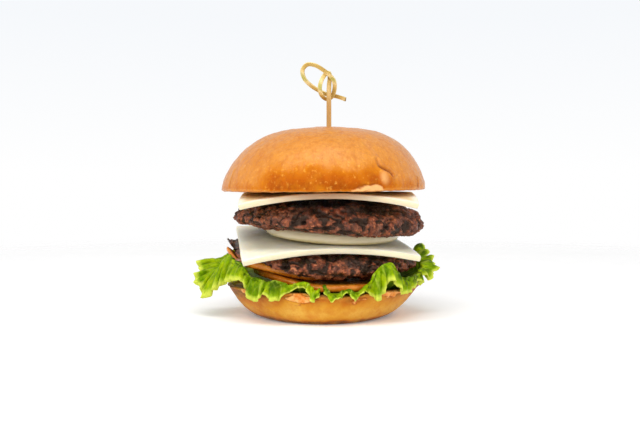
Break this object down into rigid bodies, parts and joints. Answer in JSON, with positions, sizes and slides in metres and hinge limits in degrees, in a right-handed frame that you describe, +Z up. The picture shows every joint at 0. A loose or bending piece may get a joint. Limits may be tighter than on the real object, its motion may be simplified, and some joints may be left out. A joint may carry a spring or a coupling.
{
  "type": "hamburger",
  "caption": "Stacked hamburger with grilled meat patties, draped white cheese slices, raw onion, tomato and frilly lettuce in a glossy round bun, held by a knotted bamboo pick.",
  "frame": {"origin": "middle of the burger on the plane of the bottom bun's flat base", "axes": "+Z up, -Y towards the viewer of the picture, +X to the viewer's right"},
  "size_m": [0.1322, 0.1105, 0.1352],
  "materials": {
    "bun_crust": "glossy baked bread crust",
    "bun_base_crust": "satin baked bread crust",
    "grilled_meat": "craggy browned minced meat",
    "white_cheese": "smooth, slightly glossy cheese",
    "onion_flesh": "moist, slightly clear onion",
    "tomato_flesh": "moist tomato",
    "lettuce_green": "thin, fresh leaf",
    "bamboo": "bare bamboo"
  },
  "bodies": {
    "root": {"bottom_bun": "bun_base_crust", "lettuce_left": "lettuce_green", "lettuce_right": "lettuce_green", "tomato_lower": "tomato_flesh", "tomato_upper": "tomato_flesh", "patty_lower": "grilled_meat", "cheese_lower": "white_cheese", "onion": "onion_flesh", "patty_upper": "grilled_meat", "cheese_upper": "white_cheese", "top_bun": "bun_crust", "pick": "bamboo"}
  },
  "joints": []
}
